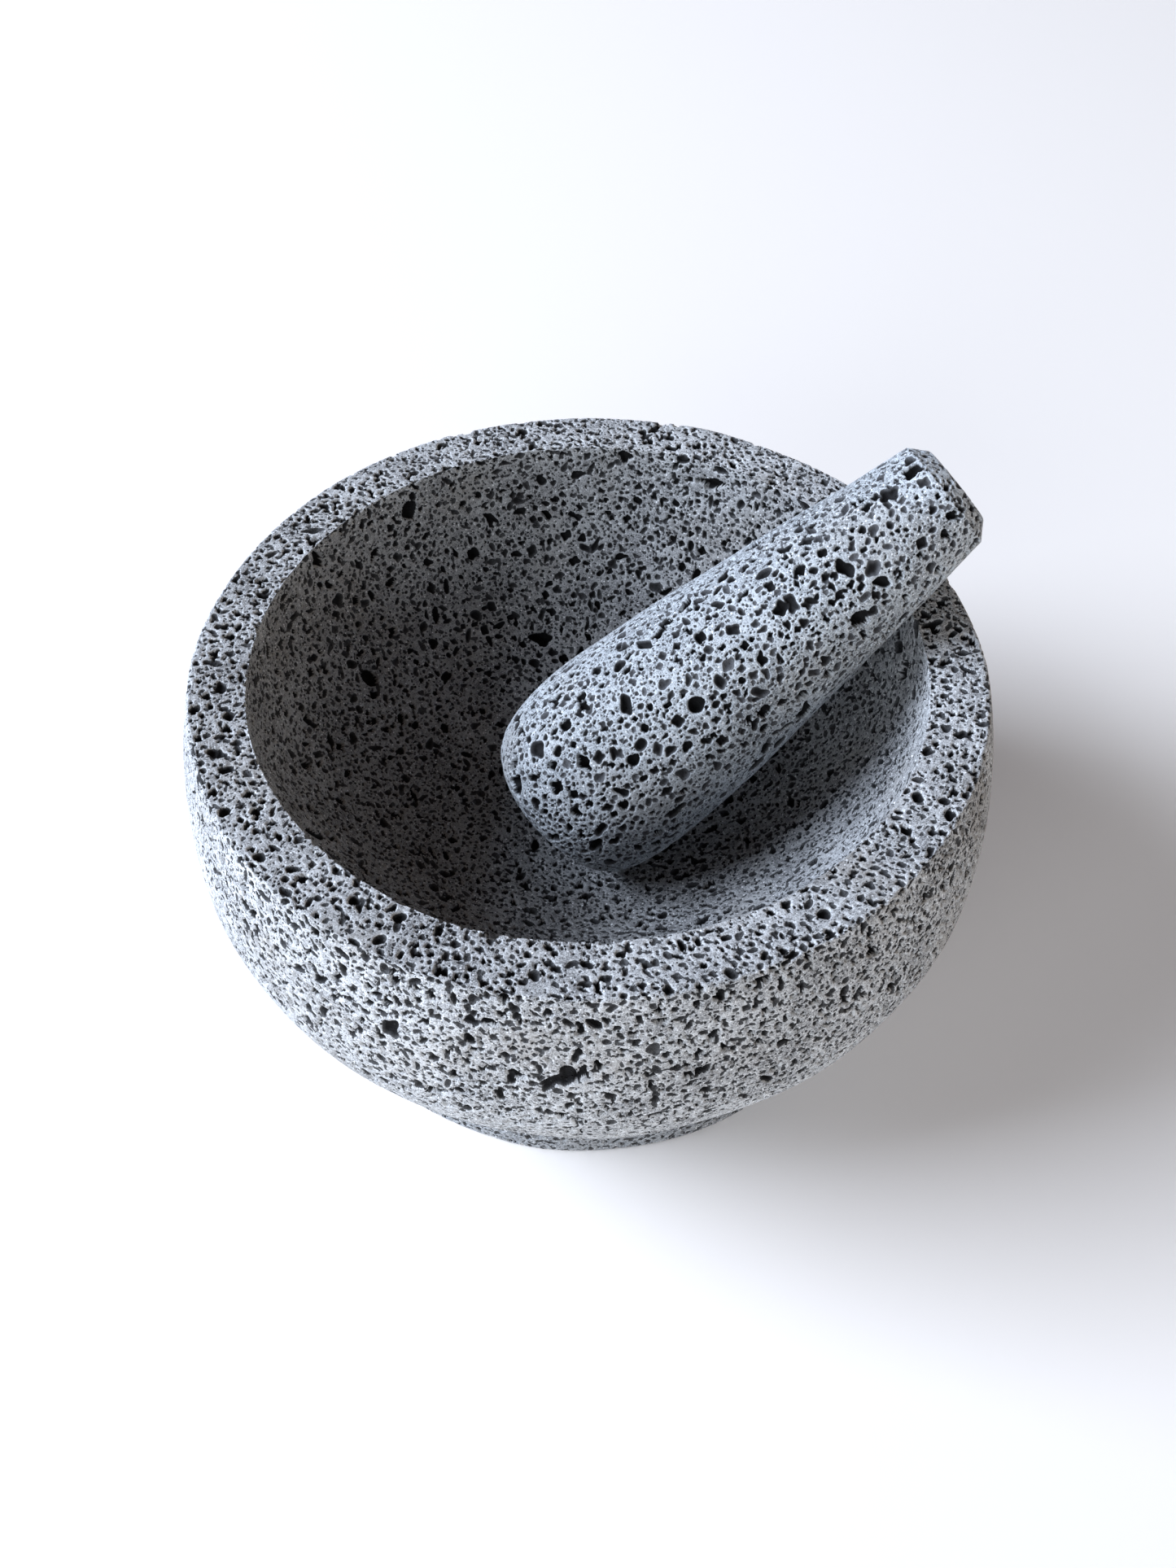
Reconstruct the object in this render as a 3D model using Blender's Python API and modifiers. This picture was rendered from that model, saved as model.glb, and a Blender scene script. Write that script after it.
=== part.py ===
"""Molcajete: a bowl carved from volcanic stone and the stone pestle that rests in it.

Metres, +Z up.  The origin is the centre of the flat foot the bowl stands on, and
-Y is the side of the bowl nearest the viewer.  The pestle leans back to the +X side.
"""

import math

import bpy
from mathutils import Matrix
from mathutils import Vector

# Bowl: one turned and ground block of stone.
BOWL_HEIGHT = 0.110
RIM_OUTER_RADIUS = 0.100
RIM_INNER_RADIUS = 0.085
BELLY_RADIUS = 0.1077
BELLY_HEIGHT = 0.0687
FOOT_RADIUS = 0.0869
FOOT_HEIGHT = 0.020
HOLLOW_DEPTH = 0.070
SHOULDER_FULLNESS = 1.79
WALL_FULLNESS = 1.73
HOLLOW_FULLNESS = 2.1
OUTER_EDGE_ROUND = 0.0025
INNER_EDGE_BEVEL = 0.0008
BOWL_FACETS = 72

# Pestle: a tapered club, blunt at the grinding end and bevelled at the hand end.
# TAPER_ROOT_RADIUS is where the straight taper would end at the tip; the stone
# is rounded off inside that taper over ROUNDED_LENGTH.
PESTLE_LENGTH = 0.1377
TAPER_ROOT_RADIUS = 0.03465
ROUNDED_LENGTH = 0.1139
GRINDING_FULLNESS = 4.68
HAND_RADIUS = 0.0151
HAND_BEVEL_LENGTH = 0.0036
HAND_FACE_RADIUS = 0.0109
PESTLE_FACETS = 48

# Where the tip of the grinding end sits, and how the pestle leans on the rim.
PESTLE_TIP = Vector((-0.0119, -0.0107, 0.05635))
PESTLE_HEADING = math.radians(19.3)
PESTLE_LEAN = math.radians(37.57)

# Stone colours and finish.
BOWL_COLOUR = (0.23, 0.23, 0.235, 1.0)
PESTLE_COLOUR = (0.28, 0.285, 0.29, 1.0)
STONE_ROUGHNESS = 0.9

MERGE_DISTANCE = 0.00005


def clear_scene():
    for leftover in list(bpy.data.objects):
        bpy.data.objects.remove(leftover, do_unlink=True)


def stone(name, colour):
    material = bpy.data.materials.new(name)
    material.use_nodes = True
    shader = material.node_tree.nodes["Principled BSDF"]
    shader.inputs["Base Color"].default_value = colour
    shader.inputs["Roughness"].default_value = STONE_ROUGHNESS
    shader.inputs["Metallic"].default_value = 0.0
    return material


def superellipse(fraction, power):
    """Half-width left at a fraction of the way along, from 1 down to 0."""
    return (1.0 - fraction ** power) ** (1.0 / power)


def turned(name, profile, facets, material, collection):
    """Spin a half profile, listed from its top down its outer side, about Z."""
    mesh = bpy.data.meshes.new(name)
    points = [(radius, 0.0, height) for radius, height in profile]
    edges = [(first, first + 1) for first in range(len(points) - 1)]
    mesh.from_pydata(points, edges, [])
    piece = bpy.data.objects.new(name, mesh)
    collection.objects.link(piece)
    spin = piece.modifiers.new("Spin", "SCREW")
    spin.axis = "Z"
    spin.angle = math.tau
    spin.steps = facets
    spin.render_steps = facets
    spin.screw_offset = 0.0
    spin.use_merge_vertices = True
    spin.merge_threshold = MERGE_DISTANCE
    spin.use_smooth_shade = True
    mesh.materials.append(material)
    return piece


def hollow_profile(steps=14):
    """From the bottom of the hollow on the axis up to the bevel at the rim."""
    floor = BOWL_HEIGHT - HOLLOW_DEPTH
    rise = HOLLOW_DEPTH - INNER_EDGE_BEVEL
    points = [(0.0, floor)]
    for step in range(1, steps + 1):
        angle = 0.5 * math.pi * step / steps
        below_rim = math.cos(angle)
        radius = RIM_INNER_RADIUS * superellipse(below_rim, HOLLOW_FULLNESS)
        points.append((radius, floor + rise * (1.0 - below_rim)))
    points.append((RIM_INNER_RADIUS + INNER_EDGE_BEVEL, BOWL_HEIGHT))
    return points


def rim_edge_profile(steps=4):
    """The rounded outer edge of the rim, from the flat top down into the wall."""
    centre_radius = RIM_OUTER_RADIUS - OUTER_EDGE_ROUND
    centre_height = BOWL_HEIGHT - OUTER_EDGE_ROUND
    points = []
    for step in range(steps + 1):
        angle = 0.5 * math.pi * (1.0 - step / steps)
        radius = centre_radius + OUTER_EDGE_ROUND * math.cos(angle)
        points.append((radius, centre_height + OUTER_EDGE_ROUND * math.sin(angle)))
    return points


def shoulder_profile(steps=6):
    """From just under the rim down to the widest part of the bowl."""
    top = BOWL_HEIGHT - OUTER_EDGE_ROUND
    points = []
    for step in range(1, steps + 1):
        up = 1.0 - step / steps
        swell = (BELLY_RADIUS - RIM_OUTER_RADIUS) * up ** SHOULDER_FULLNESS
        points.append((BELLY_RADIUS - swell, BELLY_HEIGHT + (top - BELLY_HEIGHT) * up))
    return points


def wall_profile(steps=12):
    """From the widest part down the wall, then down the short upright foot."""
    points = []
    for step in range(1, steps + 1):
        down = step / steps
        draw_in = (BELLY_RADIUS - FOOT_RADIUS) * down ** WALL_FULLNESS
        height = BELLY_HEIGHT + (FOOT_HEIGHT - BELLY_HEIGHT) * down
        points.append((BELLY_RADIUS - draw_in, height))
    points.append((FOOT_RADIUS, 0.0))
    points.append((0.0, 0.0))
    return points


def taper_radius(along):
    """Radius of the straight taper at a distance from the grinding tip."""
    share = along / (PESTLE_LENGTH - HAND_BEVEL_LENGTH)
    return TAPER_ROOT_RADIUS + (HAND_RADIUS - TAPER_ROOT_RADIUS) * share


def pestle_profile(steps=18):
    """From the hand end on the axis down the shaft and around the grinding end."""
    points = [
        (0.0, PESTLE_LENGTH),
        (HAND_FACE_RADIUS, PESTLE_LENGTH),
        (HAND_RADIUS, PESTLE_LENGTH - HAND_BEVEL_LENGTH),
    ]
    for step in range(steps + 1):
        toward_tip = math.sin(0.5 * math.pi * step / steps)
        along = ROUNDED_LENGTH * (1.0 - toward_tip)
        rounding = superellipse(toward_tip, GRINDING_FULLNESS)
        points.append((taper_radius(along) * rounding, along))
    return points


def build_bowl(collection):
    profile = hollow_profile() + rim_edge_profile() + shoulder_profile() + wall_profile()
    material = stone("bowl_stone", BOWL_COLOUR)
    return turned("mortar_bowl", profile, BOWL_FACETS, material, collection)


def build_pestle(collection):
    material = stone("pestle_stone", PESTLE_COLOUR)
    pestle = turned("pestle", pestle_profile(), PESTLE_FACETS, material, collection)
    heading = Matrix.Rotation(PESTLE_HEADING, 4, "Z")
    lean = Matrix.Rotation(0.5 * math.pi - PESTLE_LEAN, 4, "Y")
    pestle.matrix_world = Matrix.Translation(PESTLE_TIP) @ heading @ lean
    return pestle


clear_scene()
molcajete = bpy.data.collections.new("molcajete")
bpy.context.scene.collection.children.link(molcajete)
build_bowl(molcajete)
build_pestle(molcajete)
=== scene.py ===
"""A molcajete: a round volcanic stone bowl and the stone pestle that leans in it."""

import math

import bpy
import numpy as np
from mathutils import Matrix
from mathutils import Vector


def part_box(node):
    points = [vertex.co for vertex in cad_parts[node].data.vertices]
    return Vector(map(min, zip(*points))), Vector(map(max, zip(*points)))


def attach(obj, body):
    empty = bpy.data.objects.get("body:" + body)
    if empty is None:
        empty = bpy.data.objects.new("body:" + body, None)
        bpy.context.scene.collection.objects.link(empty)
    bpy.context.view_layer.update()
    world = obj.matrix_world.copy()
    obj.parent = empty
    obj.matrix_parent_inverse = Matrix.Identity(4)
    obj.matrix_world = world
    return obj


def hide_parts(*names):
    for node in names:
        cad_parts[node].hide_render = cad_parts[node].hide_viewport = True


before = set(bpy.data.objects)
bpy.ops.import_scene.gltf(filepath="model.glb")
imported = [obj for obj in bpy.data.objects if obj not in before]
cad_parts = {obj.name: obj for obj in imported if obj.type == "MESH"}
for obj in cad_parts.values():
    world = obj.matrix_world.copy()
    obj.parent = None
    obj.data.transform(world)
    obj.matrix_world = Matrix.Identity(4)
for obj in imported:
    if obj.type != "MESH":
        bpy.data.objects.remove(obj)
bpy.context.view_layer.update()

# ---------------------------------------------------------------------------
# The view.  A wide lens held about 0.3 m from the bowl, over its near side,
# looking down a little more steeply than 45 degrees.
# ---------------------------------------------------------------------------
VIEW_LENS_MM = 28.02
VIEW_SENSOR_MM = 36.0
VIEW_NEAREST, VIEW_FARTHEST = 0.01, 20.0
VIEW_DOWN = math.radians(51.24)
VIEW_ROLL = math.radians(-0.44)
VIEW_SIDE_STEP = -0.00005
VIEW_RISE = 0.03408
VIEW_DISTANCE = 0.30809

bowl_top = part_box("mortar_bowl")[1][2]
rim_centre = Vector((0.0, 0.0, bowl_top))

forward = Vector((0.0, math.cos(VIEW_DOWN), -math.sin(VIEW_DOWN)))
level_right = Vector((1.0, 0.0, 0.0))
level_up = level_right.cross(forward)
view_right = level_right * math.cos(VIEW_ROLL) + level_up * math.sin(VIEW_ROLL)
view_up = level_up * math.cos(VIEW_ROLL) - level_right * math.sin(VIEW_ROLL)

view_data = bpy.data.cameras.new("view")
view_data.lens = VIEW_LENS_MM
view_data.sensor_width = VIEW_SENSOR_MM
view_data.clip_start = VIEW_NEAREST
view_data.clip_end = VIEW_FARTHEST
view = bpy.data.objects.new("view", view_data)
bpy.context.scene.collection.objects.link(view)
turn = Matrix((view_right, view_up, -forward)).transposed().to_4x4()
back_off = view_right * VIEW_SIDE_STEP + view_up * VIEW_RISE + forward * VIEW_DISTANCE
view.matrix_world = Matrix.Translation(rim_centre - back_off) @ turn
bpy.context.scene.camera = view

# ---------------------------------------------------------------------------
# The table and the room.  A plain sheet to stand on, warm enough to look neutral
# under the cool light of a broad window on the left.  A weak low lamp fills the
# front, and the room is pale at eye level, warmer on the right, dark overhead.
# ---------------------------------------------------------------------------
FLOOR_HALF = 3.0
FLOOR_COLOUR = (0.99, 0.93, 0.86, 1.0)
FLOOR_GLOW_COLOUR = (0.74, 0.92, 1.20, 1.0)
FLOOR_GLOW = 0.08
FLOOR_ROUGHNESS = 0.9
FLOOR_SHINE = 0.2
WALL_LEFT_COLOUR = (0.30, 0.37, 0.48, 1.0)
WALL_RIGHT_COLOUR = (1.12, 1.00, 0.87, 1.0)
CEILING_COLOUR = (0.090, 0.070, 0.060, 1.0)
WARMING_STARTS, WARMING_FULL = -0.3, 0.6
CEILING_STARTS, CEILING_FULL = 0.12, 0.55
LAMP_TARGET = Vector((0.0, 0.0, 0.07))

floor_mesh = bpy.data.meshes.new("floor")
floor_corners = [
    (-FLOOR_HALF, -FLOOR_HALF, 0.0),
    (FLOOR_HALF, -FLOOR_HALF, 0.0),
    (FLOOR_HALF, FLOOR_HALF, 0.0),
    (-FLOOR_HALF, FLOOR_HALF, 0.0),
]
floor_mesh.from_pydata(floor_corners, [], [(0, 1, 2, 3)])
floor = bpy.data.objects.new("floor", floor_mesh)
bpy.context.scene.collection.objects.link(floor)
floor_paint = bpy.data.materials.new("pale_floor")
floor_paint.use_nodes = True
floor_shader = floor_paint.node_tree.nodes["Principled BSDF"]
floor_shader.inputs["Base Color"].default_value = FLOOR_COLOUR
floor_shader.inputs["Roughness"].default_value = FLOOR_ROUGHNESS
floor_shader.inputs["Specular IOR Level"].default_value = FLOOR_SHINE
floor_shader.inputs["Emission Color"].default_value = FLOOR_GLOW_COLOUR
floor_shader.inputs["Emission Strength"].default_value = FLOOR_GLOW
floor_mesh.materials.append(floor_paint)

room = bpy.data.worlds.new("room")
room.use_nodes = True
room_nodes, room_links = room.node_tree.nodes, room.node_tree.links
toward = room_nodes.new("ShaderNodeSeparateXYZ")
room_links.new(
    room_nodes.new("ShaderNodeTexCoord").outputs["Generated"], toward.inputs[0]
)
rightward = room_nodes.new("ShaderNodeMapRange")
rightward.inputs["From Min"].default_value = WARMING_STARTS
rightward.inputs["From Max"].default_value = WARMING_FULL
room_links.new(toward.outputs["X"], rightward.inputs["Value"])
upward = room_nodes.new("ShaderNodeMapRange")
upward.inputs["From Min"].default_value = CEILING_STARTS
upward.inputs["From Max"].default_value = CEILING_FULL
room_links.new(toward.outputs["Z"], upward.inputs["Value"])
walls = room_nodes.new("ShaderNodeMix")
walls.data_type = "RGBA"
walls.inputs["A"].default_value = WALL_LEFT_COLOUR
walls.inputs["B"].default_value = WALL_RIGHT_COLOUR
room_links.new(rightward.outputs["Result"], walls.inputs["Factor"])
all_round = room_nodes.new("ShaderNodeMix")
all_round.data_type = "RGBA"
all_round.inputs["B"].default_value = CEILING_COLOUR
room_links.new(walls.outputs["Result"], all_round.inputs["A"])
room_links.new(upward.outputs["Result"], all_round.inputs["Factor"])
room_links.new(all_round.outputs["Result"], room_nodes["Background"].inputs["Color"])
bpy.context.scene.world = room
bpy.context.scene.view_settings.view_transform = "Standard"


def hang_lamp(name, bearing, rise, distance, size, level, colour):
    """A square lamp facing the bowl; level 1 lights a white sheet it faces to 1."""
    data = bpy.data.lights.new(name, "AREA")
    data.shape = "SQUARE"
    data.size = size
    data.energy = level * (math.pi * distance) ** 2
    data.color = colour
    lamp = bpy.data.objects.new(name, data)
    bpy.context.scene.collection.objects.link(lamp)
    bearing, rise = math.radians(bearing), math.radians(rise)
    level_x, level_y = math.cos(bearing), math.sin(bearing)
    away = Vector((level_x * math.cos(rise), level_y * math.cos(rise), math.sin(rise)))
    lamp.location = LAMP_TARGET + away * distance
    lamp.rotation_mode = "QUATERNION"
    lamp.rotation_quaternion = (-away).to_track_quat("-Z", "Y")


hang_lamp(
    "window",
    bearing=178.0,
    rise=32.5,
    distance=5.0,
    size=3.0,
    level=1.76,
    colour=(0.80, 0.90, 1.08),
)
hang_lamp(
    "front",
    bearing=240.0,
    rise=13.0,
    distance=3.0,
    size=2.0,
    level=0.56,
    colour=(0.92, 0.98, 1.06),
)

# ---------------------------------------------------------------------------
# The mortar bowl.  One block of grey vesicular basalt, turned and ground: a flat
# rim, a bulging wall, a round hollow and a short upright foot.  Gas bubbles in the
# stone, cut open by the grinding, leave pits all over its surface.
# ---------------------------------------------------------------------------
BOWL_HEIGHT = 0.110
RIM_OUTER_RADIUS = 0.100
RIM_INNER_RADIUS = 0.085
BELLY_RADIUS = 0.1077
BELLY_HEIGHT = 0.0687
FOOT_RADIUS = 0.0869
FOOT_HEIGHT = 0.020
FOOT_EDGE_WEAR = 0.0004
HOLLOW_DEPTH = 0.070
SHOULDER_FULLNESS = 1.79
WALL_FULLNESS = 1.73
HOLLOW_FULLNESS = 2.1
OUTER_EDGE_ROUND = 0.0013
INNER_EDGE_BEVEL = 0.0008
BOWL_SPACING = 0.00037
BOWL_MOST_AROUND = 1536
BOWL_SEED = 11
FOOT_SHIFT = 0.0012
MM_PER_METRE = 1000.0

# A ring never has fewer points than this, and is halved a little early.  Bands of
# points under a bubble are wider around the stone, where points can stand closer.
FEWEST_AROUND = 3
HALVE_EARLY = 0.35
BAND_WIDENING = 1.45

# Easing of the outward direction across sharp edges, so that pits stay upright.
EDGE_EASING = 0.0012

# Bubbles are placed in rounds, each seeing the pits of the round before.  A ball's
# middle lies at most these shares of its radius above the ground surface, which
# counts as negative, and below it.  Lobes push the lip of a pit out and in.
BUBBLE_ROUNDS = 5
BUBBLE_MARGIN = 0.0008
FAR_FROM_BUBBLES = 0.01
MIDDLE_ABOVE, MIDDLE_BELOW = -0.85, 0.6
DEEPENED = 1.25
LOBE_MOST = 0.19
WIDEST_REACH = 1.4

# Classes of bubble, large first: how many are tried, the smallest and largest ball,
# how rare the large ones are, the most one is pulled long, and the room it needs.
BOWL_BUBBLES = [
    (170, 0.0016, 0.0029, 2.0, 1.0, 0.3),
    (5200, 0.0009, 0.0016, 1.7, 0.8, 0.9),
    (52000, 0.00050, 0.0010, 1.3, 0.8, 1.06),
    (100000, 0.00033, 0.00048, 1.2, 0.6, 1.25),
]

# Wear in from the turned shape: broad waves, the least of it, and small chips, and
# the shortest and longest wave in each as shares of the length given.
BOWL_WAVE_LENGTH, BOWL_WAVE_DEPTH, BOWL_WEAR_LEAST = 0.045, 0.00022, 0.0003
CHIP_LENGTH, BOWL_CHIP_DEPTH = 0.0028, 0.00005
SHORTEST_WAVE, LONGEST_WAVE = 0.7, 1.5


def superellipse(fraction, power):
    """Half-width left at a fraction of the way along, from 1 down to 0."""
    return np.clip(1.0 - fraction**power, 0.0, 1.0) ** (1.0 / power)


def bowl_outline(points=400):
    """Half the bowl's outline, from the bottom of the hollow out to the foot."""
    angle = np.linspace(0.0, 0.5 * math.pi, points)
    rise = HOLLOW_DEPTH - INNER_EDGE_BEVEL
    below_rim = np.cos(angle)
    hollow_r = RIM_INNER_RADIUS * superellipse(below_rim, HOLLOW_FULLNESS)
    hollow_z = BOWL_HEIGHT - HOLLOW_DEPTH + rise * (1.0 - below_rim)
    edge_r = RIM_OUTER_RADIUS - OUTER_EDGE_ROUND * (1.0 - np.sin(angle))
    edge_z = BOWL_HEIGHT - OUTER_EDGE_ROUND * (1.0 - np.cos(angle))
    down = np.linspace(0.0, 1.0, points)[1:]
    top = BOWL_HEIGHT - OUTER_EDGE_ROUND
    swell = (BELLY_RADIUS - RIM_OUTER_RADIUS) * (1.0 - down) ** SHOULDER_FULLNESS
    shoulder_z = top + (BELLY_HEIGHT - top) * down
    wall_r = BELLY_RADIUS - (BELLY_RADIUS - FOOT_RADIUS) * down**WALL_FULLNESS
    wall_z = BELLY_HEIGHT + (FOOT_HEIGHT - BELLY_HEIGHT) * down
    foot_r = [FOOT_RADIUS, FOOT_RADIUS - FOOT_EDGE_WEAR, 0.0]
    foot_z = [FOOT_EDGE_WEAR, 0.0, 0.0]
    radius = np.concatenate([hollow_r, edge_r, BELLY_RADIUS - swell, wall_r, foot_r])
    height = np.concatenate([hollow_z, edge_z, shoulder_z, wall_z, foot_z])
    return radius, height


class TurnedStone:
    """A fine skin of points over a turned shape, ring by ring from end to end."""

    def __init__(self, radius, height, spacing, most_around):
        step = np.hypot(np.diff(radius), np.diff(height))
        keep = np.concatenate([[True], step > 1e-9])
        radius, height = radius[keep], height[keep]
        walked = np.concatenate(
            [[0.0], np.cumsum(np.hypot(np.diff(radius), np.diff(height)))]
        )
        count = int(round(walked[-1] / spacing))
        self.along = np.linspace(0.0, walked[-1], count + 1)
        self.gap = self.along[1]
        self.radius = np.interp(self.along, walked, radius)
        self.height = np.interp(self.along, walked, height)
        self.radius[0] = self.radius[-1] = 0.0
        self.count_rings(most_around, spacing)
        self.find_outward()
        self.lay_points()

    def count_rings(self, most_around, spacing):
        """Points on each ring, halved as the ring shrinks so that they stay even."""
        wanted = 2.0 * math.pi * self.radius / spacing
        wanted = np.maximum(wanted, FEWEST_AROUND)
        halvings = np.floor(np.log2(most_around / wanted) + HALVE_EARLY)
        most_halvings = int(math.log2(most_around / FEWEST_AROUND))
        halvings = np.clip(halvings, 0, most_halvings).astype(int)
        for ring in range(2, len(halvings) // 2):
            halvings[ring] = max(halvings[ring], halvings[ring - 1] - 1)
        for ring in range(len(halvings) - 3, len(halvings) // 2, -1):
            halvings[ring] = max(halvings[ring], halvings[ring + 1] - 1)
        self.around = most_around >> halvings
        self.around[0] = self.around[-1] = 1
        self.start = np.concatenate([[0], np.cumsum(self.around)[:-1]])

    def find_outward(self):
        """Outward direction of each ring, evened out a little across the edges."""
        run = np.gradient(self.radius)
        climb = np.gradient(self.height)
        reach = int(EDGE_EASING / self.gap)
        window = np.hanning(2 * reach + 3)
        out_r = np.convolve(np.pad(-climb, reach + 1, mode="edge"), window, "valid")
        out_z = np.convolve(np.pad(run, reach + 1, mode="edge"), window, "valid")
        length = np.hypot(out_r, out_z)
        self.out_r, self.out_z = out_r / length, out_z / length
        self.out_r[0] = self.out_r[-1] = 0.0

    def lay_points(self):
        """One row of arrays per point: ring number, angle, place and direction."""
        self.ring = np.repeat(np.arange(len(self.around)), self.around)
        order = np.arange(len(self.ring)) - self.start[self.ring]
        self.angle = 2.0 * math.pi * order / self.around[self.ring]
        across, up = np.cos(self.angle), np.sin(self.angle)
        ring_r, ring_z = self.radius[self.ring], self.height[self.ring]
        self.places = np.stack([ring_r * across, ring_r * up, ring_z], axis=1)
        lean_r, lean_z = self.out_r[self.ring], self.out_z[self.ring]
        self.outward = np.stack([lean_r * across, lean_r * up, lean_z], axis=1)
        self.depth = np.zeros(len(self.ring))
        self.lip = np.full(len(self.ring), FAR_FROM_BUBBLES)

    def cut_bubbles(self, chance, tries, small, large, rarity, pull_most, keep_apart):
        """Opens gas bubbles met by the ground surface, where there is still room.

        Each is a ball, or an egg shape, cut through at a random height, so it leaves
        anything from a shallow dish to a deep hole with upright sides.
        """
        for _ in range(BUBBLE_ROUNDS):
            number = tries // BUBBLE_ROUNDS
            share = self.radius / self.radius.sum()
            ring = chance.choice(len(share), size=number, p=share)
            angle = chance.uniform(0.0, 2.0 * math.pi, number)
            ball = small + (large - small) * chance.random(number) ** rarity
            sunk = ball * chance.uniform(MIDDLE_ABOVE, MIDDLE_BELOW, number)
            opening = np.sqrt(ball**2 - sunk**2)
            cell = 2.0 * math.pi / self.around[ring]
            column = np.round(angle / cell).astype(int) % self.around[ring]
            room_left = self.lip[self.start[ring] + column]
            fits = room_left > opening * keep_apart
            fits &= (ring > 1) & (ring < len(share) - 2)
            ring, angle, ball = ring[fits], angle[fits], ball[fits]
            sunk, opening = sunk[fits], opening[fits]
            along = self.along[ring] + chance.uniform(-0.5, 0.5, len(ring)) * self.gap
            pull = 1.0 + pull_most * chance.random(len(ring)) ** 2
            heading = chance.uniform(0.0, math.pi, len(ring))
            lobes = chance.uniform(0.0, LOBE_MOST, (len(ring), 3))
            lobe_turn = chance.uniform(0.0, 2.0 * math.pi, (len(ring), 3))
            reach = opening * pull * WIDEST_REACH + BUBBLE_MARGIN
            bands = np.ceil(reach / self.gap).astype(int)
            for band in np.unique(bands):
                mine = bands == band
                self.open_band(
                    band,
                    ring[mine],
                    (along[mine], angle[mine], heading[mine]),
                    (opening[mine], pull[mine], ball[mine], sunk[mine]),
                    (lobes[mine], lobe_turn[mine]),
                )

    def open_band(self, band, ring, place, shape, outline):
        """Sinks the points under every bubble of about one width."""
        along, angle, heading = (part[:, None, None] for part in place)
        opening, pull, ball, sunk = (part[:, None, None] for part in shape)
        rows = ring[:, None] + np.arange(-band, band + 1)[None, :]
        inside = (rows > 0) & (rows < len(self.radius) - 1)
        rows = np.clip(rows, 1, len(self.radius) - 2)[:, :, None]
        cell = 2.0 * math.pi / self.around[rows]
        to_side = int(band * BAND_WIDENING) + 1
        side = np.arange(-to_side, to_side + 1)
        columns = np.round(angle / cell).astype(int) + side[None, None, :]
        sideways = (columns * cell - angle) * self.radius[rows]
        lengthways = self.along[rows] - along
        lean_c, lean_s = np.cos(heading), np.sin(heading)
        first = (sideways * lean_c + lengthways * lean_s) / pull
        second = (lengthways * lean_c - sideways * lean_s) * np.sqrt(pull)
        bearing = np.arctan2(second, first)
        swell = 1.0
        for lobe in range(3):
            share = outline[0][:, lobe, None, None]
            offset = outline[1][:, lobe, None, None]
            swell = swell + share * np.cos((lobe + 2) * bearing + offset)
        away = np.hypot(first, second) / swell
        lip = np.where(inside[:, :, None], away - opening, FAR_FROM_BUBBLES)
        hole = sunk + np.sqrt(np.maximum(ball**2 - away**2, 0.0))
        hole = np.where((away < opening) & inside[:, :, None], DEEPENED * hole, 0.0)
        points = columns % self.around[rows] + self.start[rows]
        np.maximum.at(self.depth, points.ravel(), hole.ravel())
        np.minimum.at(self.lip, points.ravel(), lip.ravel())

    def grain_heights(self, chance, wavelength, waves=28):
        """A smooth random field over the stone, about 1 at its crests."""
        headings = chance.normal(size=(waves, 3))
        headings /= np.linalg.norm(headings, axis=1)[:, None]
        lengths = wavelength * chance.uniform(SHORTEST_WAVE, LONGEST_WAVE, waves)
        pitch = 2.0 * math.pi / lengths
        shifts = chance.uniform(0.0, 2.0 * math.pi, waves)
        total = np.zeros(len(self.places))
        for heading, rate, shift in zip(headings, pitch, shifts):
            total += np.sin(self.places @ heading * rate + shift)
        return total / math.sqrt(waves)

    def faces(self):
        """Squares between even rings, and triangles where a ring has half as many."""
        squares, corners = [], []
        for ring in range(len(self.around) - 1):
            here, there = self.around[ring], self.around[ring + 1]
            low, high = self.start[ring], self.start[ring + 1]
            many = np.arange(max(here, there))
            if here == 1:
                tips = np.full(there, low)
                after = high + (many + 1) % there
                corners.append(np.stack([tips, high + many, after], axis=1))
            elif there == 1:
                tips = np.full(here, high)
                after = low + (many + 1) % here
                corners.append(np.stack([low + many, tips, after], axis=1))
            elif here == there:
                after = (many + 1) % here
                sides = [low + many, high + many, high + after, low + after]
                squares.append(np.stack(sides, axis=1))
            else:
                few = np.arange(min(here, there))
                near, mid = few * 2, few * 2 + 1
                far = (few * 2 + 2) % max(here, there)
                after = (few + 1) % len(few)
                if here < there:
                    near, mid, far = high + near, high + mid, high + far
                    one, two = low + few, low + after
                    corners.append(np.stack([one, near, mid], axis=1))
                    corners.append(np.stack([one, mid, two], axis=1))
                    corners.append(np.stack([two, mid, far], axis=1))
                else:
                    near, mid, far = low + near, low + mid, low + far
                    one, two = high + few, high + after
                    corners.append(np.stack([near, one, mid], axis=1))
                    corners.append(np.stack([mid, one, two], axis=1))
                    corners.append(np.stack([mid, two, far], axis=1))
        return np.concatenate(squares), np.concatenate(corners)

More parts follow.
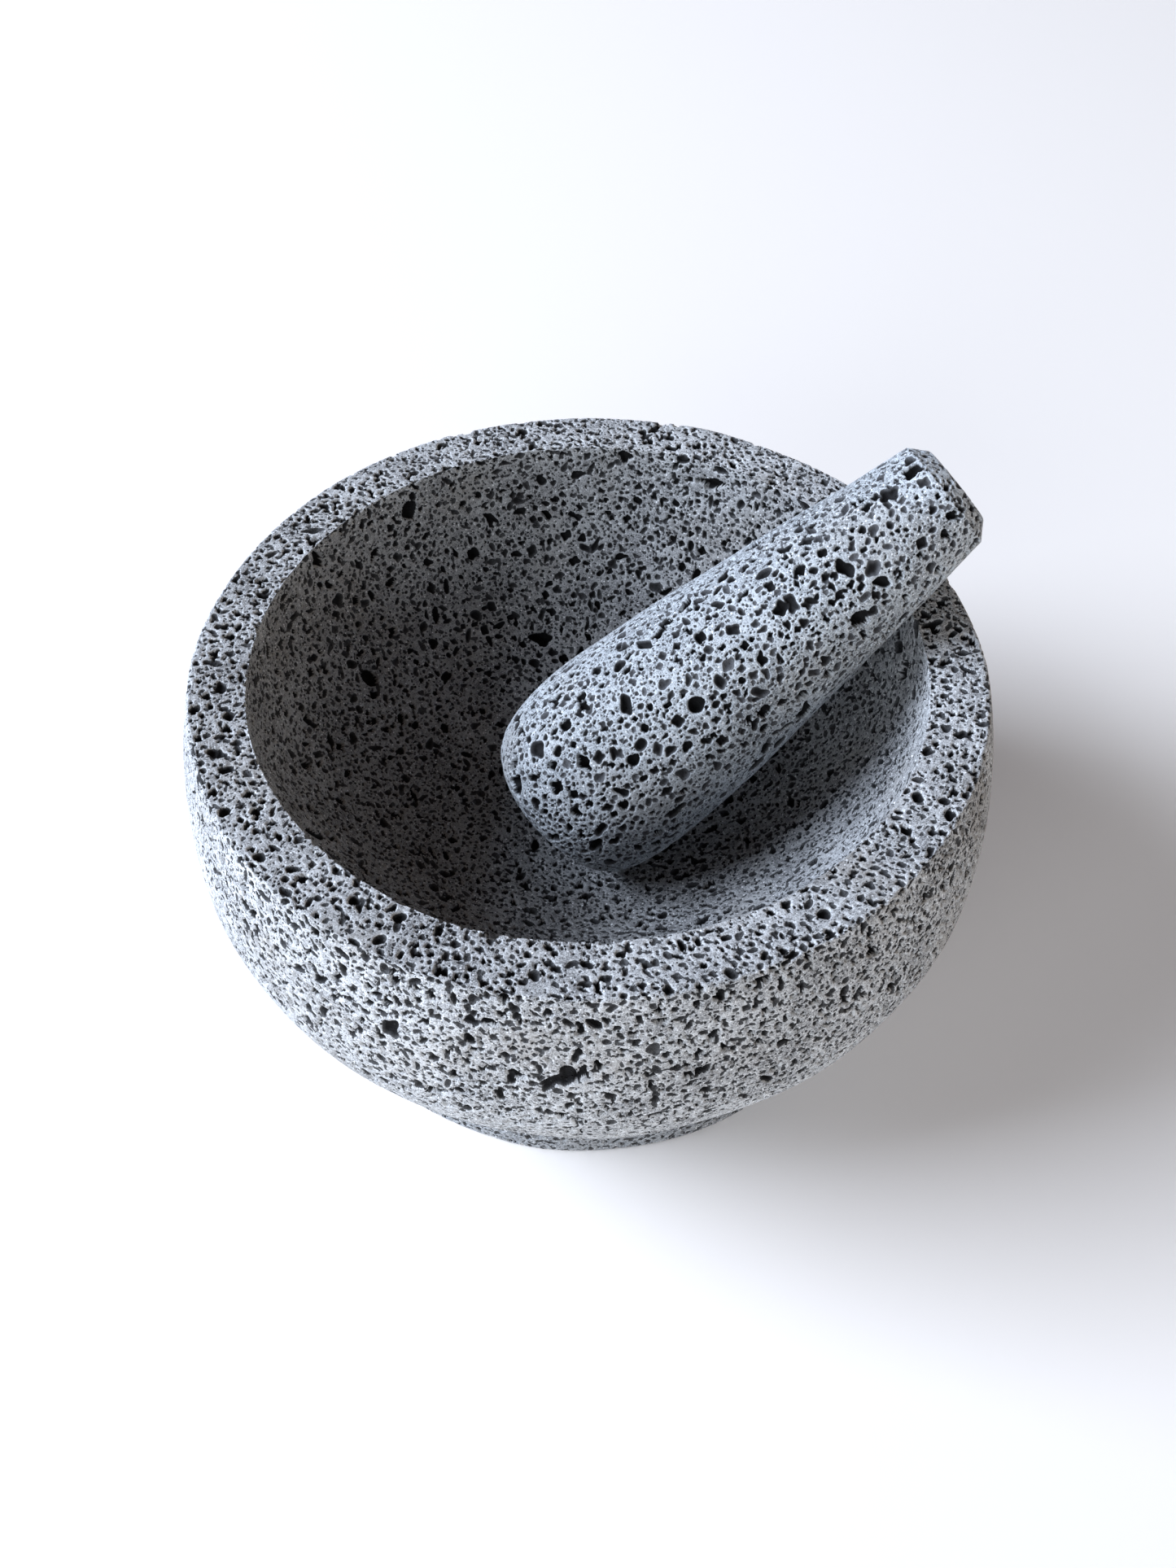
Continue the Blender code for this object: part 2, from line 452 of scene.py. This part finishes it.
    def make_mesh(self, name):
        """The finished skin.  Every point keeps its depth in a pit and its distance
        from the nearest pit's lip, in millimetres, and its place in the turning."""
        squares, corners = self.faces()
        mesh = bpy.data.meshes.new(name)
        mesh.vertices.add(len(self.places))
        mesh.vertices.foreach_set("co", self.places.astype(np.float32).ravel())
        joined = np.concatenate([squares.ravel(), corners.ravel()]).astype(np.int32)
        mesh.loops.add(len(joined))
        mesh.loops.foreach_set("vertex_index", joined)
        square_starts = np.arange(len(squares)) * 4
        corner_starts = len(squares) * 4 + np.arange(len(corners)) * 3
        starts = np.concatenate([square_starts, corner_starts]).astype(np.int32)
        mesh.polygons.add(len(starts))
        mesh.polygons.foreach_set("loop_start", starts)
        mesh.update(calc_edges=True)
        mesh.polygons.foreach_set("use_smooth", np.ones(len(starts), dtype=bool))
        for label, values in (("pit_depth", self.depth), ("pit_lip", self.lip)):
            kept = mesh.attributes.new(label, "FLOAT", "POINT")
            in_mm = (values * MM_PER_METRE).astype(np.float32)
            kept.data.foreach_set("value", in_mm)
        turning = mesh.attributes.new("turning", "FLOAT_VECTOR", "POINT")
        around_x, around_y = np.cos(self.angle), np.sin(self.angle)
        along_mm = self.along[self.ring] * MM_PER_METRE
        lathe = np.stack([around_x, around_y, along_mm], axis=1)
        turning.data.foreach_set("vector", lathe.astype(np.float32).ravel())
        mesh.update()
        return mesh


def value_node(tree, kind, **settings):
    """Adds a node and sets the named properties on it."""
    node = tree.nodes.new(kind)
    for setting, value in settings.items():
        setattr(node, setting, value)
    return node


def start_group(name, inputs, outputs):
    """A node group with named inputs (with defaults) and named outputs."""
    tree = bpy.data.node_groups.new(name, "ShaderNodeTree")
    for label, kind, default in inputs:
        socket = tree.interface.new_socket(label, in_out="INPUT", socket_type=kind)
        if default is not None:
            socket.default_value = default
    for label, kind in outputs:
        tree.interface.new_socket(label, in_out="OUTPUT", socket_type=kind)
    return tree, tree.nodes.new("NodeGroupInput"), tree.nodes.new("NodeGroupOutput")


def maths(tree, operation, first, second=None, clamp=False):
    """A maths node fed by sockets or plain numbers."""
    node = value_node(tree, "ShaderNodeMath", operation=operation, use_clamp=clamp)
    for place, value in enumerate((first, second)):
        if isinstance(value, (int, float)):
            node.inputs[place].default_value = value
        elif value is not None:
            tree.links.new(value, node.inputs[place])
    return node.outputs[0]


def spread(tree, value, low, high, to_low=0.0, to_high=1.0):
    """Stretches a value from one range to another and holds it there."""
    node = value_node(tree, "ShaderNodeMapRange")
    tree.links.new(value, node.inputs["Value"])
    node.inputs["From Min"].default_value = low
    node.inputs["From Max"].default_value = high
    node.inputs["To Min"].default_value = to_low
    node.inputs["To Max"].default_value = to_high
    return node.outputs["Result"]


def noise(tree, place, scale, detail=2.0, roughness=0.5):
    """Cloudy noise at a number of lumps to the metre."""
    node = value_node(tree, "ShaderNodeTexNoise")
    tree.links.new(place, node.inputs["Vector"])
    node.inputs["Scale"].default_value = scale
    node.inputs["Detail"].default_value = detail
    node.inputs["Roughness"].default_value = roughness
    return node.outputs["Fac"]


# How fine each mark in the stone is, in lumps or crystals to the metre.
PATCHES_PER_METRE = 55.0
MOTTLE_PER_METRE = 700.0
FINE_GRAIN_PER_METRE = 3400.0
CRYSTALS_PER_METRE = 1500.0
PINHOLE_WOBBLE_PER_METRE = 1400.0
PINHOLE_WOBBLE = 0.0007
STAINS_PER_METRE = 38.0

# Where each mark sets in: the ends of the grain's range of tone, which crystals
# glint and how far out, the size of pinholes in cells, and the run of scratches.
GRAIN_DARKEST, GRAIN_PALEST = 1.22, 1.74
GLINT_RARITY, GLINT_ALWAYS = 0.87, 0.89
GLINT_EDGE, GLINT_HEART = 0.42, 0.25
PINHOLE_GROWTH, PINHOLE_LEAST = 0.9, 0.10
PINHOLE_EDGE, PINHOLE_HEART = -0.02, 0.12
SCRATCHES_ALONG = (14.0, 14.0, 3.2)
SCRATCH_DARKEST, SCRATCH_PALEST = 0.3, 0.7

# The pits, in millimetres: the lining starts just outside the lip and is full
# just inside it, depth blackens it with painted shade, and the worn edge fades
# away from the lip.
LINING_STARTS_MM, LINING_FULL_MM = 0.05, -0.06
BLACK_STARTS_MM, BLACK_FULL_MM = 0.2, 1.1
LIP_ENDS_MM, LIP_FULL_MM = 0.35, 0.05


def crystal_grain_group():
    """Fine crystals of the ground stone: grey tone, pale crystals painted as glints,
    and roughness.
    """
    inputs = [("Place", "NodeSocketVector", None), ("Strength", "NodeSocketFloat", 1.0)]
    outputs = [
        ("Tone", "NodeSocketFloat"),
        ("Glint", "NodeSocketFloat"),
        ("Height", "NodeSocketFloat"),
    ]
    tree, given, result = start_group("crystal_grain", inputs, outputs)
    place = given.outputs["Place"]
    patches = noise(tree, place, PATCHES_PER_METRE, 3.0)
    mottle = noise(tree, place, MOTTLE_PER_METRE, 3.0, 0.6)
    fine = noise(tree, place, FINE_GRAIN_PER_METRE, 2.0, 0.6)
    summed = maths(tree, "ADD", maths(tree, "MULTIPLY", patches, 0.5), mottle)
    summed = maths(tree, "ADD", summed, maths(tree, "MULTIPLY", fine, 1.5))
    tone = spread(tree, summed, GRAIN_DARKEST, GRAIN_PALEST, -1.0, 1.0)
    tone = maths(tree, "MULTIPLY", tone, given.outputs["Strength"])
    tree.links.new(tone, result.inputs["Tone"])
    crystals = value_node(tree, "ShaderNodeTexVoronoi", feature="F1")
    crystals.inputs["Scale"].default_value = CRYSTALS_PER_METRE
    tree.links.new(place, crystals.inputs["Vector"])
    split = value_node(tree, "ShaderNodeSeparateColor")
    tree.links.new(crystals.outputs["Color"], split.inputs["Color"])
    picked = spread(tree, split.outputs["Red"], GLINT_RARITY, GLINT_ALWAYS)
    close = spread(tree, crystals.outputs["Distance"], GLINT_EDGE, GLINT_HEART)
    glint = maths(tree, "MULTIPLY", picked, close)
    tree.links.new(glint, result.inputs["Glint"])
    tree.links.new(maths(tree, "ADD", mottle, fine), result.inputs["Height"])
    return tree


def pinhole_group():
    """Bubbles too small to cut as pits: pinholes of mixed size, whose dark is painted
    shade.
    """
    inputs = [
        ("Place", "NodeSocketVector", None),
        ("Per metre", "NodeSocketFloat", 1000.0),
        ("Share", "NodeSocketFloat", 0.5),
    ]
    outputs = [("Hole", "NodeSocketFloat")]
    tree, given, result = start_group("pinholes", inputs, outputs)
    wobble = value_node(tree, "ShaderNodeTexNoise")
    wobble.inputs["Scale"].default_value = PINHOLE_WOBBLE_PER_METRE
    wobble.inputs["Detail"].default_value = 1.0
    tree.links.new(given.outputs["Place"], wobble.inputs["Vector"])
    bent = value_node(tree, "ShaderNodeVectorMath", operation="MULTIPLY_ADD")
    tree.links.new(wobble.outputs["Color"], bent.inputs[0])
    bent.inputs[1].default_value = (PINHOLE_WOBBLE,) * 3
    tree.links.new(given.outputs["Place"], bent.inputs[2])
    cells = value_node(tree, "ShaderNodeTexVoronoi", feature="F1")
    tree.links.new(bent.outputs["Vector"], cells.inputs["Vector"])
    tree.links.new(given.outputs["Per metre"], cells.inputs["Scale"])
    split = value_node(tree, "ShaderNodeSeparateColor")
    tree.links.new(cells.outputs["Color"], split.inputs["Color"])
    chosen = maths(tree, "SUBTRACT", given.outputs["Share"], split.outputs["Red"])
    reach = maths(tree, "MULTIPLY", chosen, PINHOLE_GROWTH)
    reach = maths(tree, "ADD", reach, PINHOLE_LEAST)
    edge = maths(tree, "SUBTRACT", reach, cells.outputs["Distance"])
    hole = spread(tree, edge, PINHOLE_EDGE, PINHOLE_HEART)
    tree.links.new(hole, result.inputs["Hole"])
    return tree


def grinding_group():
    """Faint scratches left around the piece by turning and grinding."""
    inputs = [("Turning", "NodeSocketVector", None)]
    outputs = [("Scratch", "NodeSocketFloat")]
    tree, given, result = start_group("grinding_marks", inputs, outputs)
    stretched = value_node(tree, "ShaderNodeMapping")
    stretched.inputs["Scale"].default_value = SCRATCHES_ALONG
    tree.links.new(given.outputs["Turning"], stretched.inputs["Vector"])
    lines = noise(tree, stretched.outputs["Vector"], 1.0, 2.0, 0.6)
    scratch = spread(tree, lines, SCRATCH_DARKEST, SCRATCH_PALEST, -1.0, 1.0)
    tree.links.new(scratch, result.inputs["Scratch"])
    return tree


def open_pit_group():
    """Where the pits are: their dark lining, how deep it lies, which sets painted shade
    in deep pits, and the worn lip.
    """
    outputs = [
        ("Inside", "NodeSocketFloat"),
        ("Deep", "NodeSocketFloat"),
        ("Lip", "NodeSocketFloat"),
    ]
    tree, given, result = start_group("open_pits", [], outputs)
    lip = value_node(tree, "ShaderNodeAttribute", attribute_name="pit_lip")
    depth = value_node(tree, "ShaderNodeAttribute", attribute_name="pit_depth")
    inside = spread(tree, lip.outputs["Fac"], LINING_STARTS_MM, LINING_FULL_MM)
    tree.links.new(inside, result.inputs["Inside"])
    deep = spread(tree, depth.outputs["Fac"], BLACK_STARTS_MM, BLACK_FULL_MM)
    tree.links.new(deep, result.inputs["Deep"])
    near = spread(tree, lip.outputs["Fac"], LIP_ENDS_MM, LIP_FULL_MM)
    tree.links.new(maths(tree, "SUBTRACT", near, inside), result.inputs["Lip"])
    return tree


crystal_grain = crystal_grain_group()
pinholes = pinhole_group()
grinding_marks = grinding_group()
open_pits = open_pit_group()


def blend(tree, first, second, factor):
    """Mixes two colours, each a socket or a plain colour, by a socket."""
    node = value_node(tree, "ShaderNodeMix", data_type="RGBA")
    for label, colour in (("A", first), ("B", second)):
        if isinstance(colour, tuple):
            node.inputs[label].default_value = colour
        else:
            tree.links.new(colour, node.inputs[label])
    tree.links.new(factor, node.inputs["Factor"])
    return node.outputs["Result"]


# Colours that both stones share, and where the bowl's hollow ends, in millimetres
# along its outline from the bottom of the hollow.
HOLE_SHADE_BLACK = (0.008, 0.008, 0.009, 1.0)
GLINT_WHITE = (0.86, 0.87, 0.88, 1.0)
FOOT_SHADE_GREY = (0.10, 0.125, 0.155, 1.0)
HOLLOW_END_MM = 123.0
HOLLOW_FADE_MM = 5.0
FOOT_FADE = 0.0004

# How strongly scratches, worn lips, stains and the grain in the pits show, and how
# the surface shines and stands up.
SCRATCH_SHOW = 0.16
LIP_WEAR = 0.22
STAIN_STARTS, STAIN_FULL, STAIN_MOST = 0.52, 0.75, 0.4
PIT_GRAIN = 0.12
STONE_ROUGHNESS, GLINT_ROUGHNESS = 0.86, 0.42
STONE_SHINE = 0.35
GRAIN_RELIEF, HOLE_RELIEF = 0.6, 1.6
RELIEF_STRENGTH, RELIEF_HEIGHT = 0.9, 0.0002


def stone_material(name, pale, dark, lining, warm, rate, share, hollow_darkening, foot_shade):
    """Ground basalt: grey crystals, dark open pits, pinholes and faint scratches.

    The hollow is darkened towards the lining by its given share, and the foot band
    takes painted shade by its own share.
    """
    material = bpy.data.materials.new(name)
    material.use_nodes = True
    tree = material.node_tree
    shader = tree.nodes["Principled BSDF"]
    where = value_node(tree, "ShaderNodeTexCoord").outputs["Object"]
    grain = value_node(tree, "ShaderNodeGroup", node_tree=crystal_grain)
    tree.links.new(where, grain.inputs["Place"])
    holes = value_node(tree, "ShaderNodeGroup", node_tree=pinholes)
    tree.links.new(where, holes.inputs["Place"])
    holes.inputs["Per metre"].default_value = rate
    holes.inputs["Share"].default_value = share
    lathe = value_node(tree, "ShaderNodeAttribute", attribute_name="turning")
    marks = value_node(tree, "ShaderNodeGroup", node_tree=grinding_marks)
    tree.links.new(lathe.outputs["Vector"], marks.inputs["Turning"])
    pits = value_node(tree, "ShaderNodeGroup", node_tree=open_pits)

    tone = spread(tree, grain.outputs["Tone"], -1.0, 1.0, 0.0, 1.0)
    scratch = maths(tree, "MULTIPLY", marks.outputs["Scratch"], SCRATCH_SHOW)
    tone = maths(tree, "ADD", tone, scratch)
    lip_wear = maths(tree, "MULTIPLY", pits.outputs["Lip"], LIP_WEAR)
    tone = maths(tree, "ADD", tone, lip_wear, clamp=True)
    colour = blend(tree, dark, pale, tone)
    clouds = noise(tree, where, STAINS_PER_METRE, 3.0)
    stained = spread(tree, clouds, STAIN_STARTS, STAIN_FULL, 0.0, STAIN_MOST)
    colour = blend(tree, colour, warm, stained)
    turned = value_node(tree, "ShaderNodeSeparateXYZ")
    tree.links.new(lathe.outputs["Vector"], turned.inputs["Vector"])
    # Along the outline, the hollow is darkened towards the lining colour by its share,
    # which fades out over the last few millimetres before the hollow's end.
    hollow_start = HOLLOW_END_MM - HOLLOW_FADE_MM
    in_hollow = spread(
        tree, turned.outputs["Z"], hollow_start, HOLLOW_END_MM, hollow_darkening, 0.0
    )
    colour = blend(tree, colour, lining, in_hollow)
    # The foot band is painted darker and bluer by its share: painted shade on the foot
    # under the bulging wall.
    rise = value_node(tree, "ShaderNodeSeparateXYZ")
    tree.links.new(where, rise.inputs["Vector"])
    above, under = FOOT_HEIGHT + FOOT_FADE, FOOT_HEIGHT - FOOT_FADE
    foot_shade_mask = spread(tree, rise.outputs["Z"], above, under, 0.0, foot_shade)
    colour = blend(tree, colour, FOOT_SHADE_GREY, foot_shade_mask)
    # Chosen crystals are painted near-white: pale crystal colour with a painted glint
    # on it, and a lower roughness below.
    colour = blend(tree, colour, GLINT_WHITE, grain.outputs["Glint"])
    # Pinholes are painted black: painted shade in holes too small to cut, with a dent
    # in the bump below.
    hole = holes.outputs["Hole"]
    colour = blend(tree, colour, HOLE_SHADE_BLACK, hole)
    inner_tone = maths(tree, "MULTIPLY", tone, PIT_GRAIN)
    inner = blend(tree, lining, pale, inner_tone)
    # Deep pits are painted black by depth as painted shade over the lining's own dark
    # grey.
    inner = blend(tree, inner, HOLE_SHADE_BLACK, pits.outputs["Deep"])
    colour = blend(tree, colour, inner, pits.outputs["Inside"])
    tree.links.new(colour, shader.inputs["Base Color"])

    glint = grain.outputs["Glint"]
    dull = spread(tree, glint, 0.0, 1.0, STONE_ROUGHNESS, GLINT_ROUGHNESS)
    tree.links.new(dull, shader.inputs["Roughness"])
    shader.inputs["Specular IOR Level"].default_value = STONE_SHINE
    height = maths(tree, "MULTIPLY", grain.outputs["Height"], GRAIN_RELIEF)
    dent = maths(tree, "MULTIPLY", hole, HOLE_RELIEF)
    height = maths(tree, "SUBTRACT", height, dent)
    height = maths(tree, "ADD", height, scratch)
    relief = value_node(tree, "ShaderNodeBump")
    relief.inputs["Strength"].default_value = RELIEF_STRENGTH
    relief.inputs["Distance"].default_value = RELIEF_HEIGHT
    tree.links.new(height, relief.inputs["Height"])
    tree.links.new(relief.outputs["Normal"], shader.inputs["Normal"])
    return material


outline_r, outline_z = bowl_outline()
bowl_skin = TurnedStone(outline_r, outline_z, BOWL_SPACING, BOWL_MOST_AROUND)
bowl_chance = np.random.default_rng(BOWL_SEED)
for bubbles in BOWL_BUBBLES:
    bowl_skin.cut_bubbles(bowl_chance, *bubbles)
wear = bowl_skin.grain_heights(bowl_chance, BOWL_WAVE_LENGTH) * BOWL_WAVE_DEPTH
chips = bowl_skin.grain_heights(bowl_chance, CHIP_LENGTH) * BOWL_CHIP_DEPTH
sink_in = bowl_skin.depth + np.maximum(wear + BOWL_WEAR_LEAST, 0.0) + np.abs(chips)
bowl_skin.places -= bowl_skin.outward * sink_in[:, None]

# Below the belly the wall was ground a little off centre, more towards the foot.
below = np.clip(1.0 - bowl_skin.height[bowl_skin.ring] / BELLY_HEIGHT, 0.0, 1.0)
outside = bowl_skin.ring > np.argmax(bowl_skin.radius)
bowl_skin.places[:, 0] -= FOOT_SHIFT * below * outside
bowl_skin.places[:, 2] = np.maximum(bowl_skin.places[:, 2], 0.0)
bowl_mesh = bowl_skin.make_mesh("bowl_stone_skin")
bowl = bpy.data.objects.new("bowl_stone_skin", bowl_mesh)
bpy.context.scene.collection.objects.link(bowl)
bowl_mesh.materials.append(
    stone_material(
        "bowl_basalt",
        pale=(0.685, 0.70, 0.71, 1.0),
        dark=(0.14, 0.141, 0.146, 1.0),
        lining=(0.028, 0.028, 0.030, 1.0),
        warm=(0.36, 0.33, 0.29, 1.0),
        rate=1000.0,
        share=0.42,
        hollow_darkening=0.28,
        foot_shade=0.42,
    )
)
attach(bowl, "bowl")
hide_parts("mortar_bowl")

# ---------------------------------------------------------------------------
# The pestle.  A loose club of paler basalt, broad and blunt at the grinding end
# and narrower, with a bevelled edge, at the hand end.  Its bubbles are larger and
# rounder than the bowl's.  It lies in the hollow and leans on the rim.
# ---------------------------------------------------------------------------
PESTLE_LENGTH = 0.1377
TAPER_ROOT_RADIUS = 0.03465
ROUNDED_LENGTH = 0.1139
GRINDING_FULLNESS = 4.68
HAND_RADIUS = 0.0151
HAND_BEVEL_LENGTH = 0.0036
HAND_FACE_RADIUS = 0.0109
PESTLE_TIP = Vector((-0.0119, -0.0107, 0.05635))
PESTLE_HEADING = math.radians(19.3)
PESTLE_LEAN = math.radians(37.57)
PESTLE_SPACING = 0.00027
PESTLE_MOST_AROUND = 768
PESTLE_SEED = 5
PESTLE_BUBBLES = [
    (120, 0.0017, 0.0027, 1.5, 0.6, 0.4),
    (1100, 0.0010, 0.0017, 1.4, 0.5, 0.9),
    (8500, 0.0005, 0.0010, 1.3, 0.5, 1.1),
    (24000, 0.00026, 0.0005, 1.2, 0.4, 1.25),
]
PESTLE_WAVE_LENGTH, PESTLE_WAVE_DEPTH, PESTLE_WEAR_LEAST = 0.03, 0.00015, 0.0002
PESTLE_CHIP_DEPTH = 0.00004


def pestle_outline(points=400):
    """Half the pestle's outline, from the hand end down around the grinding tip."""
    toward_tip = np.sin(np.linspace(0.0, 0.5 * math.pi, points))
    along = ROUNDED_LENGTH * (1.0 - toward_tip)
    share = along / (PESTLE_LENGTH - HAND_BEVEL_LENGTH)
    taper = TAPER_ROOT_RADIUS + (HAND_RADIUS - TAPER_ROOT_RADIUS) * share
    club_r = taper * superellipse(toward_tip, GRINDING_FULLNESS)
    bevel_top = PESTLE_LENGTH - HAND_BEVEL_LENGTH
    radius = np.concatenate([[0.0, HAND_FACE_RADIUS, HAND_RADIUS], club_r])
    height = np.concatenate([[PESTLE_LENGTH, PESTLE_LENGTH, bevel_top], along])
    return radius, height


club_r, club_z = pestle_outline()
pestle_skin = TurnedStone(club_r, club_z, PESTLE_SPACING, PESTLE_MOST_AROUND)
pestle_chance = np.random.default_rng(PESTLE_SEED)
for bubbles in PESTLE_BUBBLES:
    pestle_skin.cut_bubbles(pestle_chance, *bubbles)
worn = pestle_skin.grain_heights(pestle_chance, PESTLE_WAVE_LENGTH) * PESTLE_WAVE_DEPTH
nicks = pestle_skin.grain_heights(pestle_chance, CHIP_LENGTH) * PESTLE_CHIP_DEPTH
club_sink = pestle_skin.depth + np.maximum(worn + PESTLE_WEAR_LEAST, 0.0)
club_sink += np.abs(nicks)
pestle_skin.places -= pestle_skin.outward * club_sink[:, None]
lean_over = Matrix.Rotation(0.5 * math.pi - PESTLE_LEAN, 4, "Y")
turn_to = Matrix.Rotation(PESTLE_HEADING, 4, "Z")
stand = np.array(Matrix.Translation(PESTLE_TIP) @ turn_to @ lean_over)
pestle_skin.places = pestle_skin.places @ stand[:3, :3].T + stand[:3, 3]
pestle_mesh = pestle_skin.make_mesh("pestle_stone_skin")
pestle = bpy.data.objects.new("pestle_stone_skin", pestle_mesh)
bpy.context.scene.collection.objects.link(pestle)
pestle_mesh.materials.append(
    stone_material(
        "pestle_basalt",
        pale=(0.60, 0.64, 0.67, 1.0),
        dark=(0.132, 0.142, 0.154, 1.0),
        lining=(0.07, 0.07, 0.075, 1.0),
        warm=(0.42, 0.39, 0.35, 1.0),
        rate=1200.0,
        share=0.30,
        hollow_darkening=0.0,
        foot_shade=0.0,
    )
)
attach(pestle, "pestle")
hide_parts("pestle")
